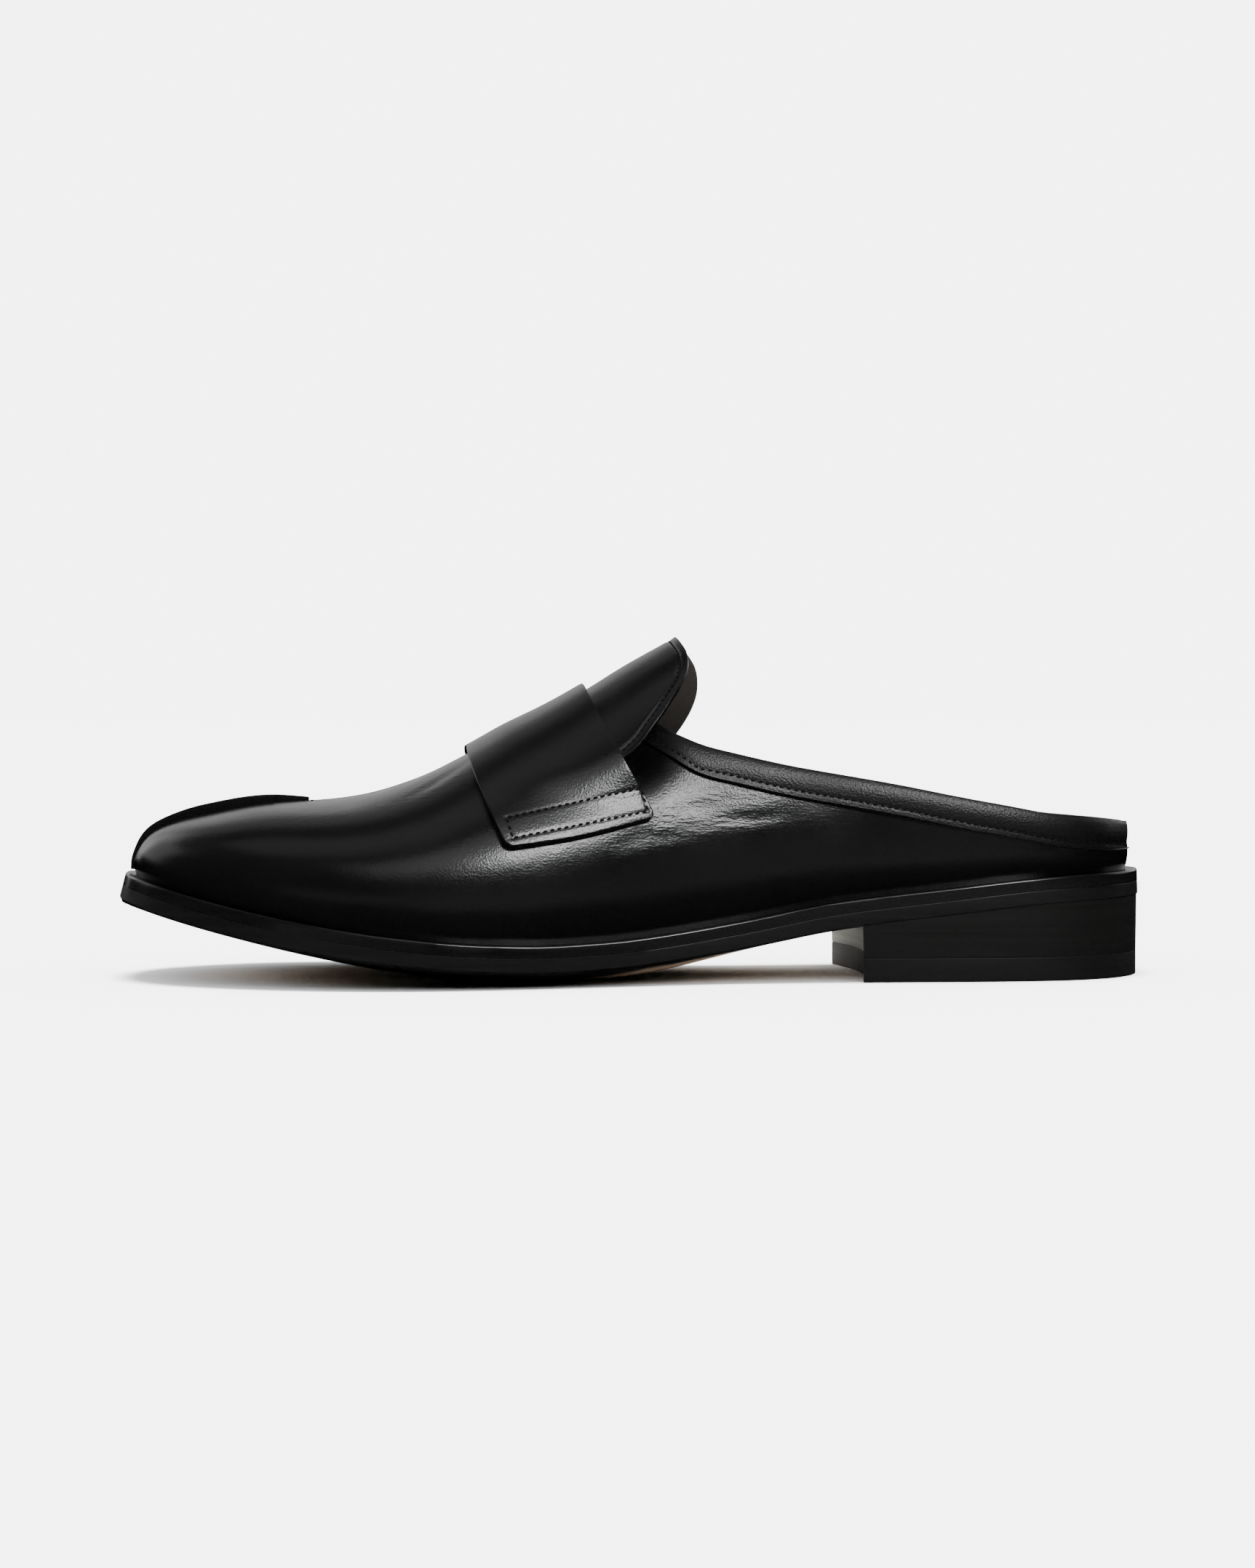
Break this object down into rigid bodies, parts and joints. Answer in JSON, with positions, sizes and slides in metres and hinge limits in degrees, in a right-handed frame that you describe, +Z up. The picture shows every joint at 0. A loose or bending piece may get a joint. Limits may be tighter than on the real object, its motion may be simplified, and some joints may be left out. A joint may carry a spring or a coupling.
{
  "type": "loafer slipper",
  "caption": "Backless leather loafer slipper for the left foot with a low rim round the heel, a tongue, a strap over the instep, a raised seam on the toe, a welted sole and a stacked heel.",
  "frame": {"origin": "middle of the heel's flat seat on the floor", "axes": "+X to the toe, +Y to the wearer's left (the lateral side), +Z up; the shoe stands on z = 0"},
  "size_m": [0.2998, 0.1028, 0.0994],
  "materials": {
    "black_leather": "smooth semi-gloss",
    "edge_leather": "waxed satin edge",
    "lining_leather": "matt",
    "heel_rubber": "matt"
  },
  "bodies": {
    "root": {"outsole": "edge_leather", "welt": "edge_leather", "heel_stack": "edge_leather", "top_lift": "heel_rubber", "insole": "lining_leather", "upper": "black_leather", "collar_binding": "black_leather", "tongue": "black_leather", "strap": "black_leather", "toe_seam_lateral": "black_leather", "toe_seam_medial": "black_leather"}
  },
  "joints": []
}
